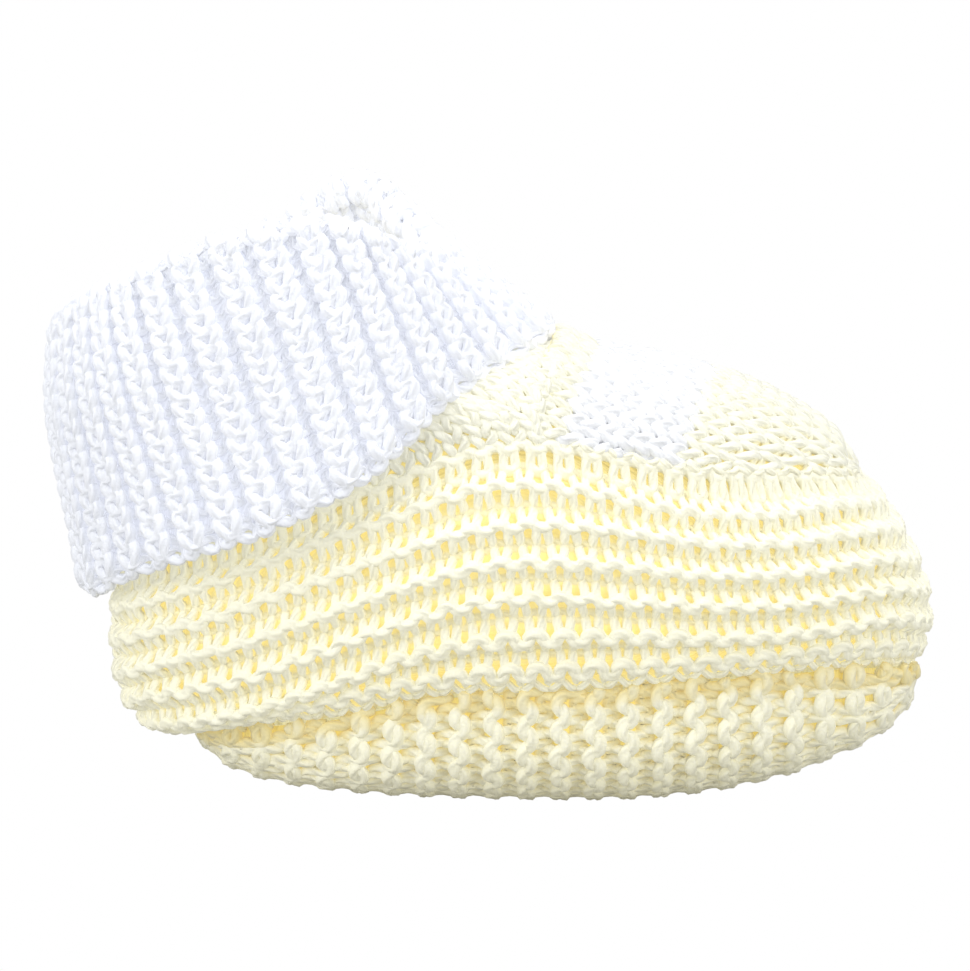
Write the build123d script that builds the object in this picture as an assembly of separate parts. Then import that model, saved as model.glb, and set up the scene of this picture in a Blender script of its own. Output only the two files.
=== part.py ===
from build123d import *
import os
import numpy as np

# Knitted baby bootie, newborn size, standing up and filled out as on a foot.
# X runs heel to toe, Z is up, the near side is -Y and the far side +Y.  The
# origin is in the middle of the flat patch the sole rests on.  Sizes in mm.

os.makedirs("parts", exist_ok=True)

# ---------------------------------------------------------------------------
# Driving dimensions
# ---------------------------------------------------------------------------
# Fabric thicknesses
T_SOLE = 2.4
T_WALL = 2.2
T_INSTEP = 1.9
T_ANKLE = 1.6
T_LEG = 1.7           # leg layer inside the cuff
T_CUFF = 2.0          # turned-down layer
T_FOLD = 2.2          # roll at the top where the cuff turns over

SKIN = 0.2            # depth of a panel's face below the yarn's highest points
SEAM_GAP = 1.5        # gap between two panel edges that are sewn together
R_YARN = 0.45         # sewing yarn radius

SOLE_X_HEEL = -35.2
SOLE_X_TOE = 48.4
SOLE_SPAN = 0.905     # share of the width at which the sole stops short of its seam
SOLE_MAX_SHARE = 0.42  # thickest the sole may be, as a share of the section's height
REST_SINK = 0.50      # how far the sole's underside is pressed flat

WALL_LOW = 0.30       # side wall's lower and upper edge, in ridges
WALL_HIGH = 6.2

INSTEP_PANEL_X0 = 8.8
INSTEP_PANEL_X1 = 41.4
STRIPE_END_X = 24.4   # change from the stripe to the toe block
COLOUR_GAP = 0.4
INSTEP_INSET = 2.0    # panel edge in from the side wall's top edge
INSTEP_LIFT = 0.5     # and above it
INSTEP_MIN_RISE = 0.6
INSTEP_SEAM_IN = 1.0
INSTEP_SEAM_LIFT = 0.1
INSTEP_SEAM_X = (7.6, 42.4)
INSTEP_YARN_SHARE = 0.8   # instep yarn radius over the other yarns'

ANKLE_SKIN = 0.5
ANKLE_TUCK = 1.6      # the band draws in by this much under the cuff
ANKLE_LOW = 0.08      # lower and upper edge, as shares of the way from foot to leg
ANKLE_HIGH = 0.60

# Edges as shares of the cuff's height, and depths below the cuff's surface
LEG_LOW = 0.47
LEG_HIGH = 0.86
LEG_DEPTH = 3.3
CUFF_LOW = 0.015
CUFF_HIGH = 0.985
FOLD_LOW = 0.90
FOLD_HIGH = CUFF_HIGH
FOLD_DEPTH = 2.7

LOOP_STEPS = 720      # steps round each closed outline
MIRROR_Y = np.array([1, -1, 1])


# ---------------------------------------------------------------------------
# Curve and vector helpers
# ---------------------------------------------------------------------------
def smooth01(t):
    """Smooth step from 0 to 1."""
    t = np.clip(t, 0.0, 1.0)
    return t * t * (3.0 - 2.0 * t)


def hermite_mix(t, start, start_slope, end, end_slope):
    """Cubic from start to end with the given end slopes, t from 0 to 1."""
    t2 = t * t
    t3 = t2 * t
    return ((2 * t3 - 3 * t2 + 1) * start + (t3 - 2 * t2 + t) * start_slope
            + (3 * t2 - 2 * t3) * end + (t3 - t2) * end_slope)


def smooth_curve(keys, values):
    """Smooth curve through a small table (values may hold rows of numbers)."""
    keys = np.asarray(keys, float)
    values = np.asarray(values, float)
    gaps = np.diff(keys)
    chords = np.diff(values, axis=0) / (gaps if values.ndim == 1 else gaps[:, None])
    slopes = np.zeros_like(values)
    slopes[1:-1] = (chords[:-1] + chords[1:]) * 0.5
    slopes[0] = chords[0]
    slopes[-1] = chords[-1]

    def curve(x):
        x = np.clip(np.asarray(x, float), keys[0], keys[-1])
        i = np.clip(np.searchsorted(keys, x, side="right") - 1, 0, len(keys) - 2)
        gap = keys[i + 1] - keys[i]
        t = (x - keys[i]) / gap
        if values.ndim > 1:
            t = t[..., None]
            gap = gap[..., None]
        return hermite_mix(t, values[i], gap * slopes[i], values[i + 1], gap * slopes[i + 1])
    return curve


def path_lengths(line):
    """Distance along a polyline at each of its points."""
    return np.concatenate([[0], np.cumsum(np.linalg.norm(np.diff(line, axis=0), axis=1))])


def even(line, count):
    """Resample a polyline at evenly spaced points, ends kept."""
    along = path_lengths(line)
    places = np.linspace(0, along[-1], count)
    return np.stack([np.interp(places, along, line[:, k]) for k in range(3)], 1)


def far_half(near):
    """Return run on the +Y side, without the point shared with the near run."""
    return near[::-1][1:] * MIRROR_Y


def on_loop(loop, turn):
    """Points on an even outline; turn 0..1 goes once round it."""
    k = np.arange(LOOP_STEPS + 1)
    return np.stack([np.interp(turn * LOOP_STEPS, k, loop[:, j]) for j in range(3)], -1)


def unit(vectors):
    return vectors / np.maximum(np.linalg.norm(vectors, axis=-1, keepdims=True), 1e-9)


def outward(surface, a, b, a_step, b_step, spine_x, spine_z):
    """Unit normal of surface(a, b), turned away from a spine lying along X
    at y = 0 and height spine_z, between the two ends in spine_x."""
    normal = unit(np.cross(surface(a + a_step, b) - surface(a - a_step, b),
                           surface(a, b + b_step) - surface(a, b - b_step)))
    away = surface(a, b) - np.array([0.0, 0.0, spine_z])
    away[..., 0] -= np.clip(away[..., 0], *spine_x)
    return normal * np.sign(np.sum(normal * away, axis=-1, keepdims=True))


# ---------------------------------------------------------------------------
# Side wall surface
# ---------------------------------------------------------------------------
# Levels are garter ridges counted up from the sole seam.  For each level: the
# heel end, the toe end, the half width, and the heights at WALL_STATION.
WALL_LEVEL = [0.0, 0.5, 1.5, 2.5, 3.5, 4.5, 5.5, 6.4]
WALL_HEEL_X = [-37.5, -40.3, -43.6, -45.9, -47.0, -47.3, -47.2, -46.6]
WALL_TOE_X = [50.4, 51.5, 52.4, 52.0, 50.6, 48.6, 46.2, 43.4]
WALL_HALF_W = [22.6, 24.2, 25.6, 26.2, 26.1, 25.2, 23.6, 21.6]
# Shares of the length from heel to toe
WALL_STATION = [0, .03, .08, .15, .22, .3, .38, .46, .54, .62, .7, .78, .86, .93, .975, 1]
# A row per level, a column per station
WALL_Z = [
    [7.5, 8.0, 8.9, 9.9, 11.2, 13.4, 14.6, 15.1, 15.5, 16.0, 16.5, 16.8, 16.9, 16.7, 15.9, 15.0],
    [6.6, 7.5, 8.9, 10.9, 13.0, 15.2, 16.8, 17.7, 18.2, 18.5, 18.8, 19.0, 19.2, 19.1, 18.1, 16.8],
    [7.6, 8.4, 9.7, 11.7, 14.4, 17.9, 20.6, 22.1, 22.5, 22.4, 22.1, 21.9, 22.2, 22.7, 21.8, 20.4],
    [10.2, 12.0, 13.8, 15.9, 18.6, 21.9, 24.9, 26.9, 27.4, 27.0, 26.3, 25.9, 26.0, 26.4, 25.8, 24.4],
    [14.0, 15.6, 17.6, 19.9, 22.6, 25.9, 29.0, 31.2, 31.8, 31.3, 30.3, 29.7, 29.8, 30.2, 29.7, 28.4],
    [18.2, 19.7, 21.5, 24.0, 26.9, 30.0, 33.0, 35.5, 36.3, 35.7, 34.4, 33.4, 33.3, 33.6, 33.3, 32.2],
    [22.4, 23.6, 25.4, 28.0, 30.9, 34.1, 37.0, 39.9, 41.0, 40.0, 38.2, 36.9, 36.6, 36.9, 36.5, 35.6],
    [27.6, 28.2, 29.6, 31.8, 34.5, 37.5, 40.5, 43.3, 44.8, 44.2, 42.6, 41.2, 40.5, 40.0, 39.2, 38.6],
]
HEEL_NARROW = 0.82           # heel width over ball width
END_ROUND = 0.72             # roundness of the heel and toe in plan
WALL_TOP = WALL_LEVEL[-1]
GRID_STEP = 0.2              # level spacing of the wall grid

wall_heel_x = smooth_curve(WALL_LEVEL, WALL_HEEL_X)
wall_toe_x = smooth_curve(WALL_LEVEL, WALL_TOE_X)
wall_half_w = smooth_curve(WALL_LEVEL, WALL_HALF_W)
wall_heights = smooth_curve(WALL_LEVEL, WALL_Z)


def plan_half(share, half_w):
    """Half width in plan at a share of the length from heel to toe."""
    angle = np.arccos(np.clip(1 - 2 * share, -1, 1))
    taper = HEEL_NARROW + (1 - HEEL_NARROW) * smooth01((share - 0.08) / 0.52)
    return half_w * taper * np.sin(angle) ** END_ROUND


def wall_loop(level, count):
    """Closed loop of the side wall at one level, from the heel centre along
    -Y to the toe and back along +Y, evenly spaced."""
    share = (1 - np.cos(np.linspace(0, np.pi, 700))) / 2
    heel, toe = float(wall_heel_x(level)), float(wall_toe_x(level))
    x = heel + share * (toe - heel)
    y = plan_half(share, float(wall_half_w(level)))
    z = smooth_curve(WALL_STATION, wall_heights(level))(share)
    near = np.stack([x, -y, z], 1)
    return even(np.concatenate([near, far_half(near)]), count)


def wall_edge(x, row):
    """Half width and height at length x of the wall's table row
    (0 is the sole seam, -1 the top edge)."""
    heel, toe = WALL_HEEL_X[row], WALL_TOE_X[row]
    share = np.clip((np.asarray(x, float) - heel) / (toe - heel), 0, 1)
    return plan_half(share, WALL_HALF_W[row]), smooth_curve(WALL_STATION, WALL_Z[row])(share)


GRID_LEVELS = np.arange(0, WALL_TOP + 0.0001, GRID_STEP)
WALL_GRID = np.array([wall_loop(level, LOOP_STEPS + 1) for level in GRID_LEVELS])


def wall_pt(turn, level):
    """Outside of the side wall; turn 0..1 round from the heel centre."""
    across = np.clip(np.asarray(turn, float), 0, 1) * LOOP_STEPS
    up = np.clip(np.asarray(level, float), 0, WALL_TOP) / GRID_STEP
    i = np.clip(np.floor(across).astype(int), 0, LOOP_STEPS - 1)
    j = np.clip(np.floor(up).astype(int), 0, len(GRID_LEVELS) - 2)
    part_i = (across - i)[..., None]
    part_j = (up - j)[..., None]
    lower = WALL_GRID[j, i] * (1 - part_i) + WALL_GRID[j, i + 1] * part_i
    upper = WALL_GRID[j + 1, i] * (1 - part_i) + WALL_GRID[j + 1, i + 1] * part_i
    return lower * (1 - part_j) + upper * part_j


def wall_out(turn, level):
    return outward(wall_pt, np.clip(turn, 0.004, 0.996), np.clip(level, 0.25, 6.15),
                   a_step=0.006, b_step=0.25, spine_x=(-24.0, 24.0), spine_z=24.0)


# ---------------------------------------------------------------------------
# Sole surface
# ---------------------------------------------------------------------------
# Height of the underside's centre line along the length
SOLE_X = [-37.5, -36, -33.6, -31.2, -28.8, -24, -19, -12, -5, 3, 12,
          17, 22, 27, 32, 36, 40.8, 43.5, 46, 48.3, 50.4]
SOLE_Z = [7.3, 5.2, 3.6, 2.6, 1.9, 1.1, .6, .15, 0, 0, 0,
          .1, .5, 1.1, 2.1, 3.1, 5.2, 6.7, 8.6, 10.8, 14.6]
SOLE_FULL = 3.0              # fullness of the cross section; 2 is an ellipse

sole_bottom = smooth_curve(SOLE_X, SOLE_Z)


def sole_pt(x, across):
    """Underside point at length x; across runs -1 (near seam) to 1 (far seam)."""
    half_w, edge_z = wall_edge(x, 0)
    angle = across * np.pi / 2
    sine, cosine = np.sin(angle), np.abs(np.cos(angle))
    radius = (np.abs(sine) ** SOLE_FULL + cosine ** SOLE_FULL) ** (-1.0 / SOLE_FULL)
    y = half_w * sine * radius
    z = edge_z - (edge_z - sole_bottom(x)) * cosine * radius
    return np.stack([x, y, z], -1)


# ---------------------------------------------------------------------------
# Instep surface
# ---------------------------------------------------------------------------
# Crown height over the foot, from the ankle line to the toe
CROWN_X = [4, 7.2, 9.6, 11.2, 14.4, 19, 24, 28.8, 33.6, 38.4, 40.8, 43.4]
CROWN_Z = [57.0, 55.8, 54.6, 53.9, 53.2, 52.4, 51.2, 49.8, 47.8, 45.0, 43.0, 38.9]
INSTEP_X0 = 9.5              # instep starts here on the crown
INSTEP_X1 = 43.3             # and ends here at the toe
INSTEP_BOW = 4.6             # its rows bow toward the toe by this much

crown_z = smooth_curve(CROWN_X, CROWN_Z)


def arch(across):
    """Height of the instep's arch, 1 on the crown and 0 at across = -1 and 1."""
    return (1 - np.abs(across) ** 2.3) ** 0.72


def instep_row(crown_x, across):
    """Bowed row of instep points that crosses the crown at crown_x."""
    bow = INSTEP_BOW * smooth01((INSTEP_X1 - crown_x) / 14.0)
    x = crown_x - bow * np.abs(across) ** 1.7
    half_w, edge_z = wall_edge(x, -1)
    z = edge_z + np.maximum(crown_z(x) - edge_z, 0) * arch(across)
    return np.stack([x, half_w * across, z], -1)


# ---------------------------------------------------------------------------
# Cuff and leg surfaces
# ---------------------------------------------------------------------------
# (x, y, z) along the near side from the back centre to the front centre
HEM_NEAR = [
    (-51.6, 0, 24.2), (-49.7, -7.5, 25.2), (-45.6, -13.5, 28.2), (-40, -18.8, 31),
    (-33.6, -22.6, 33.6), (-27.6, -24.8, 36.1), (-21.6, -26, 39.1), (-16, -25.8, 42.3),
    (-11, -24.2, 46.2), (-6, -21, 50.6), (-1.6, -16.5, 53), (1.6, -12.5, 54.6),
    (4.8, -7, 56.2), (6.9, 0, 57.0),
]
RIM_NEAR = [
    (-54.0, 0, 57.2), (-53.2, -4.5, 59.4), (-50.3, -8.6, 61.9), (-46, -11.6, 64.4),
    (-41, -13.8, 66.6), (-36, -15.7, 68.8), (-31, -17.3, 70.4), (-26, -18.4, 71.3),
    (-20, -19, 71.9), (-15, -18, 70.8), (-11.2, -15, 69.0), (-8.7, -10.5, 67.9),
    (-7.4, -5.3, 67.3), (-7, 0, 67.2),
]
# Heights of the rim's far side at the same stations
RIM_FAR_Z = [57.2, 58.2, 59.6, 60.8, 61.9, 63.9, 66.1, 68.6, 72.3, 72.7, 70.2, 68.2, 67.5, 67.2]

LEG_AXIS = np.array([-0.454, 0.0, 0.891])   # the leg leans back over the heel
CUFF_MIDDLE = np.array([-23.0, 0.0, 42.0])
CUFF_BULGE = 1.1             # bulge at the sides
BULGE_CHANGE = 1.0           # more at the back and less at the front
LEG_DROP = 4.5               # the leg layer lies this far inside the cuff
LEG_FRONT_DROP = 1.5         # and this much further at the lower front
ANKLE_TOP = 0.40             # the ankle surface ends at this height of the leg

# The ribs run from hem to rim leaning back, so the rim's spacing is uneven:
# place round the hem against place round the rim, for half a turn.
HEM_TURN = [0, .08, .15, .2, .25, .3, .4, .5]
RIM_TURN = [0, .066, .115, .163, .224, .288, .39, .5]
rim_turn = smooth_curve(HEM_TURN, RIM_TURN)


def closed_outline(near, far_z=None):
    """Smooth closed outline from its near half, with its own far heights if given."""
    near = np.array(near, float)
    far = far_half(near)
    if far_z is not None:
        far[:, 2] = far_z[::-1][1:]
    points = np.concatenate([near, far])
    # three points of overlap at each end make the join smooth
    lapped = np.concatenate([points[-4:-1], points, points[1:4]])
    along = path_lengths(lapped)
    curve = smooth_curve(along, lapped)
    return even(curve(np.linspace(along[3], along[-4], 1500)), LOOP_STEPS + 1)


HEM_LOOP = closed_outline(HEM_NEAR)
RIM_LOOP = closed_outline(RIM_NEAR, RIM_FAR_Z)


def cuff_pt(turn, rise):
    """Outside of the turned-down cuff; turn 0..1 round from the back centre,
    rise 0 at the hem and 1 at the rim."""
    turn = np.clip(turn, 0.0, 1.0)
    at_rim = np.where(turn <= 0.5, rim_turn(np.minimum(turn, 0.5)),
                      1.0 - rim_turn(np.minimum(1.0 - turn, 0.5)))
    hem = on_loop(HEM_LOOP, turn)
    rim = on_loop(RIM_LOOP, at_rim)
    straight = hem + (rim - hem) * rise[..., None]
    away = straight - CUFF_MIDDLE
    away = unit(away - (away @ LEG_AXIS)[..., None] * LEG_AXIS)
    back = smooth01((-away[..., 0] - 0.1) / 0.8)
    front = smooth01((away[..., 0] - 0.1) / 0.7)
    # 6.75 brings the peak of rise^2 (1 - rise) to 1
    bulge = (CUFF_BULGE + BULGE_CHANGE * (back - front)) * 6.75 * rise * rise * (1 - rise)
    return straight + away * bulge[..., None]


def cuff_out(turn, rise):
    return outward(cuff_pt, np.clip(turn, 0.004, 0.996), np.clip(rise, 0.01, 0.99),
                   a_step=0.004, b_step=0.01, spine_x=(-23.0, -23.0), spine_z=42.0)


def leg_pt(turn, rise):
    """Leg surface inside the cuff, where the ankle surface ends."""
    normal = cuff_out(turn, rise)
    front = smooth01((normal[..., 0] - 0.2) / 0.4)
    low = 1 - smooth01((rise - 0.45) / 0.5)
    drop = LEG_DROP + LEG_FRONT_DROP * front * low
    return cuff_pt(turn, rise) - normal * drop[..., None]


# ---------------------------------------------------------------------------
# Ankle surface
# ---------------------------------------------------------------------------
def ankle_foot_loop():
    """Lower edge of the ankle: the side wall's top edge round the heel, then
    across the front where the instep begins."""
    near_wall = wall_loop(WALL_TOP, 2 * LOOP_STEPS + 1)[:LOOP_STEPS + 1]
    front = instep_row(INSTEP_X0, np.linspace(-1, 0, 120))
    behind = near_wall[near_wall[:, 0] < front[0, 0] - 1.0]
    near = even(np.concatenate([behind, front]), LOOP_STEPS // 2 + 1)
    return np.concatenate([near, far_half(near)])


ANKLE_LOOP = ankle_foot_loop()


def ankle_pt(turn, rise):
    """Ankle surface; rise 0 at the foot, 1 at the leg."""
    turn = np.clip(turn, 0.0, 1.0)
    foot = on_loop(ANKLE_LOOP, turn)
    leg = leg_pt(turn, ANKLE_TOP + 0 * turn)
    span = np.linalg.norm(leg - foot, axis=-1, keepdims=True)
    # it leaves the foot straight up, but leans back at the front
    front = smooth01((1 - np.abs(turn - 0.5) * 2 - 0.74) / 0.22)[..., None]
    foot_way = (1 - front) * np.array([0, 0, 1.0]) + front * np.array([-0.86, 0, 0.50])
    leg_way = unit(leg_pt(turn, ANKLE_TOP + 0.03 + 0 * turn)
                   - leg_pt(turn, ANKLE_TOP - 0.03 + 0 * turn))
    return hermite_mix(rise[..., None], foot, foot_way * span * (0.9 - 0.15 * front),
                       leg, leg_way * span * 0.9)


def ankle_out(turn, rise):
    return outward(ankle_pt, np.clip(turn, 0.004, 0.996), np.clip(rise, 0.03, 0.97),
                   a_step=0.006, b_step=0.03, spine_x=(-20.0, -20.0), spine_z=36.0)


# ---------------------------------------------------------------------------
# Solid builders
# ---------------------------------------------------------------------------
def vectors(points):
    return [Vector(*map(float, point)) for point in points]


def profile(outer, inner):
    """Closed thin profile from an outer and an inner run of points."""
    outer, inner = vectors(outer), vectors(inner)
    return Wire([
        Edge.make_spline(outer),
        Edge.make_line(outer[-1], inner[-1]),
        Edge.make_spline(inner[::-1]),
        Edge.make_line(inner[0], outer[0]),
    ])


def strip(sections):
    """Fabric strip lofted through (outer, inner) sections."""
    return Solid.make_loft([profile(outer, inner) for outer, inner in sections])


def ring(point, normal, turns, end_step, rows, depth, thickness):
    """Fabric strip running round the foot or leg, open at the back seam.
    depth is that of its outside face; end_step sets the stations next to the
    seam."""
    turns = turns.copy()
    turns[1], turns[-2] = end_step, 1 - end_step
    depth = np.broadcast_to(depth, len(rows))[:, None]
    sections = []
    for k, turn in enumerate(turns):
        place = np.full(len(rows), turn)
        surface = point(place, rows)
        way_out = normal(place, rows)
        outer = surface - way_out * depth
        inner = surface - way_out * (depth + thickness)
        if k in (0, len(turns) - 1):
            side = -1.0 if k == 0 else 1.0
            outer[:, 1] = side * SEAM_GAP / 2
            inner[:, 1] = side * SEAM_GAP / 2
        sections.append((outer, inner))
    return strip(sections)


def cord(points, radius):
    """Round sewing yarn along a run of points."""
    path = Edge.make_spline(vectors(points))
    face = Face(Wire(Edge.make_circle(radius, Plane(origin=path @ 0, z_dir=path % 0))))
    return Solid.sweep(face, path)


def back_seam(point, normal, rows, depth):
    """Yarn up the back centre line, at a depth below the surface."""
    place = np.zeros(len(rows))
    points = point(place, rows) - normal(place, rows) * depth
    points[:, 1] = 0
    return cord(points, R_YARN)


def save(name, solid):
    solid.label = name
    export_step(solid, f"parts/{name}.step")


# ---------------------------------------------------------------------------
# Panels
# ---------------------------------------------------------------------------
def sole_section(x):
    across = np.linspace(-SOLE_SPAN, SOLE_SPAN, 17)
    place = np.full(across.shape, x)
    surface = sole_pt(place, across)
    along = sole_pt(place, across + 0.01) - sole_pt(place, across - 0.01)
    inward = unit(np.stack([0 * across, -along[:, 2], along[:, 1]], 1))
    height = float(wall_edge(x, 0)[1]) - float(sole_bottom(x))
    thickness = min(T_SOLE, SOLE_MAX_SHARE * height)
    outer = surface + inward * SKIN
    inner = surface + inward * (SKIN + thickness)
    outer[:, 2] -= REST_SINK
    return outer, inner


def sole_panel():
    """Lofted along the length, then cut flat at z = 0 where it rests."""
    stations = np.concatenate([[SOLE_X_HEEL, -33.5, -30.5, -26], np.linspace(-20, 36, 9),
                               [40.5, 44, 47, SOLE_X_TOE]])
    sole = strip([sole_section(x) for x in stations])
    floor = Solid.make_box(200, 120, 20, Plane((-100, -60, -20)))
    return (sole - floor).solids()[0]


def side_wall():
    """One strip from the heel seam round the toe and back."""
    rows = np.array([WALL_LOW, 0.8, 1.6, 2.5, 3.4, 4.3, 5.2, WALL_HIGH])
    return ring(wall_pt, wall_out, np.linspace(0, 1, 49), 0.012, rows, SKIN, T_WALL)


def instep_section(x):
    """Section across the foot from the near seam over to the far seam."""
    across = np.linspace(-1, 1, 13)
    half_w, edge_z = wall_edge(x, -1)
    edge_z = float(edge_z) + INSTEP_LIFT
    rise = max(float(crown_z(x)) - edge_z, INSTEP_MIN_RISE)
    surface = np.stack([np.full(across.shape, x), (half_w - INSTEP_INSET) * across,
                        edge_z + rise * arch(across)], 1)
    along = np.gradient(surface, axis=0)
    way_out = unit(np.stack([0 * across, -along[:, 2], along[:, 1]], 1))
    # the edges take their neighbours' normals, so the panel stays inside the wall
    way_out[0] = way_out[1]
    way_out[-1] = way_out[-2]
    return surface - way_out * SKIN, surface - way_out * (SKIN + T_INSTEP)


def instep_block(x_start, x_end):
    return strip([instep_section(x) for x in np.linspace(x_start, x_end, 7)])


def ankle_band():
    """From the foot up inside the cuff."""
    turns = np.concatenate([np.linspace(0, 0.34, 13), np.linspace(0.37, 0.63, 11),
                            np.linspace(0.66, 1, 13)])
    rows = np.linspace(ANKLE_LOW, ANKLE_HIGH, 6)
    depth = ANKLE_SKIN + ANKLE_TUCK * smooth01(rows / ANKLE_HIGH * 1.4)
    return ring(ankle_pt, ankle_out, turns, 0.015, rows, depth, T_ANKLE)


def cuff_layer(low, high, row_count, depth, thickness):
    """Layer parallel to the cuff's surface."""
    rows = np.linspace(low, high, row_count)
    return ring(cuff_pt, cuff_out, np.linspace(0, 1, 41), 0.012, rows, depth, thickness)


save("sole_panel", sole_panel())
save("side_wall", side_wall())
save("instep_stripe", instep_block(INSTEP_PANEL_X0, STRIPE_END_X - COLOUR_GAP / 2))
save("instep_toe", instep_block(STRIPE_END_X + COLOUR_GAP / 2, INSTEP_PANEL_X1))
save("ankle_band", ankle_band())
save("leg_rib", cuff_layer(LEG_LOW, LEG_HIGH, 5, LEG_DEPTH, T_LEG))
save("cuff_turn_down", cuff_layer(CUFF_LOW, CUFF_HIGH, 6, SKIN, T_CUFF))
save("cuff_fold", cuff_layer(FOLD_LOW, FOLD_HIGH, 3, FOLD_DEPTH, T_FOLD))


# ---------------------------------------------------------------------------
# Sewing yarns
# ---------------------------------------------------------------------------
def sole_seam():
    """Round the wall's lower edge, in the middle of its thickness."""
    turns = np.linspace(0.006, 0.994, 90)
    level_out = wall_out(turns, 0.3 + 0 * turns)
    level_out[:, 2] = 0
    return cord(wall_pt(turns, 0 * turns) - unit(level_out) * (SKIN + T_WALL / 2), R_YARN)


def instep_seam():
    """Along the near side, round the toe and back along the far side."""
    x = np.linspace(*INSTEP_SEAM_X, 26)
    half_w, edge_z = wall_edge(x, -1)
    near = np.stack([x, -(half_w - INSTEP_SEAM_IN), edge_z + INSTEP_SEAM_LIFT], 1)
    nose_y = near[-1, 1] * 0.55
    nose = np.array([[43.0, nose_y, 38.9], [43.15, 0, 38.8], [43.0, -nose_y, 38.9]])
    return cord(np.concatenate([near, nose, near[::-1] * MIRROR_Y]),
                R_YARN * INSTEP_YARN_SHARE)


save("sole_seam", sole_seam())
save("instep_seam", instep_seam())
save("heel_seam", back_seam(wall_pt, wall_out, np.linspace(WALL_LOW, WALL_HIGH, 12),
                            SKIN + T_WALL / 2))
save("leg_seam", back_seam(cuff_pt, cuff_out, np.linspace(LEG_LOW, LEG_HIGH, 8),
                           LEG_DEPTH + T_LEG / 2))
save("cuff_seam", back_seam(cuff_pt, cuff_out, np.linspace(CUFF_LOW, CUFF_HIGH, 8),
                            SKIN + T_CUFF / 2))
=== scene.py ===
# A knitted bootie: a yellow garter-stitch sole and side wall, a fine-knit instep with a white
# stripe, a yellow ankle band, and a white ribbed cuff turned down over a soft fold.
# X runs heel to toe, Z is up, the near side is -Y and the far side +Y.  The origin is in the
# middle of the flat patch the sole rests on.  Shapes are worked out in mm and become metres
# when a mesh is built.
import math
import bpy
import numpy as np
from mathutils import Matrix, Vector


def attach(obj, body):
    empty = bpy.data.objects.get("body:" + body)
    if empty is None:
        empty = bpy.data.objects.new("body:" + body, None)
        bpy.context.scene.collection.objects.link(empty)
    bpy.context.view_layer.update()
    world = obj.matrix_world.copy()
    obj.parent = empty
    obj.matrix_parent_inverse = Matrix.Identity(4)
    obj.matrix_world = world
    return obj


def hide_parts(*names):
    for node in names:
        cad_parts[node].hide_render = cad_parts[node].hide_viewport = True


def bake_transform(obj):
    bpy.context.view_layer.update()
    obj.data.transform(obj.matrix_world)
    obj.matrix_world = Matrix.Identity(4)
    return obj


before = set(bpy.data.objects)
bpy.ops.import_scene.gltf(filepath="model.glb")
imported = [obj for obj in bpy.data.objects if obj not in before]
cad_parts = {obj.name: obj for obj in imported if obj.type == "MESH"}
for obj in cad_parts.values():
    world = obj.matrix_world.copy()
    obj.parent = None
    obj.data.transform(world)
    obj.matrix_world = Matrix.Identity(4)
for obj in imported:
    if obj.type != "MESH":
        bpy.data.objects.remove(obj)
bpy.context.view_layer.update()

RNG = np.random.default_rng(20240611)

MM = 0.001
STITCH_STEPS = 18    # steps along one stitch
YARN_SIDES = 10       # sides of the yarn's tube
PLIES = 3                             # plies twisted into a yarn
PLY_TWIST = 2.1                       # radians of twist per mm of yarn
LINING = 0.12                         # thickness of the sheet behind the stitches
LOOP_STEPS = 720                      # steps round a closed outline, from the back centre
HALF_STEPS = LOOP_STEPS // 2
MIRROR_Y = np.array([1, -1, 1])


# ---------------------------------------------------------------------------
# Curves and surfaces in general
# ---------------------------------------------------------------------------
def smooth01(value):
    """Smooth step from 0 to 1 as value goes from 0 to 1."""
    value = np.clip(value, 0.0, 1.0)
    return value * value * (3.0 - 2.0 * value)


def ease_in(value, start, span):
    """0 up to start, 1 from start + span on."""
    return smooth01((value - start) / span)


def ease_out(value, end, span):
    """1 up to end - span, 0 from end on."""
    return smooth01((end - value) / span)


def unit(vectors):
    return vectors / np.maximum(np.linalg.norm(vectors, axis=-1, keepdims=True), 1e-9)


def smooth_curve(stations, values):
    """Smooth curve through a small table (values may hold rows of numbers)."""
    stations = np.asarray(stations, float)
    values = np.asarray(values, float)
    gaps = np.diff(stations)
    steps = np.diff(values, axis=0) / (gaps if values.ndim == 1 else gaps[:, None])
    slopes = np.zeros_like(values)
    slopes[1:-1] = (steps[:-1] + steps[1:]) * 0.5
    slopes[0] = steps[0]
    slopes[-1] = steps[-1]

    def curve(place):
        place = np.clip(np.asarray(place, float), stations[0], stations[-1])
        i = np.clip(np.searchsorted(stations, place, side="right") - 1, 0, len(stations) - 2)
        gap = stations[i + 1] - stations[i]
        t = (place - stations[i]) / gap
        if values.ndim > 1:
            t = t[..., None]
            gap = gap[..., None]
        return hermite(t, values[i], gap * slopes[i], values[i + 1], gap * slopes[i + 1])
    return curve


def hermite(t, start, start_pull, end, end_pull):
    """Cubic from start to end with the given tangents, t 0..1."""
    t2 = t * t
    t3 = t2 * t
    return ((2 * t3 - 3 * t2 + 1) * start + (t3 - 2 * t2 + t) * start_pull
            + (3 * t2 - 2 * t3) * end + (t3 - t2) * end_pull)


def path_length(points):
    """Length along a polyline, or along each of several, up to every point."""
    steps = np.linalg.norm(np.diff(points, axis=-2), axis=-1)
    start = np.zeros(steps.shape[:-1] + (1,))
    return np.concatenate([start, np.cumsum(steps, axis=-1)], -1)


def interp_points(places, stations, points):
    return np.stack([np.interp(places, stations, points[:, k]) for k in range(3)], -1)


def even(line, count):
    """Resample a polyline at count evenly spaced points, ends kept."""
    length = path_length(line)
    return interp_points(np.linspace(0, length[-1], count), length, line)


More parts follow.
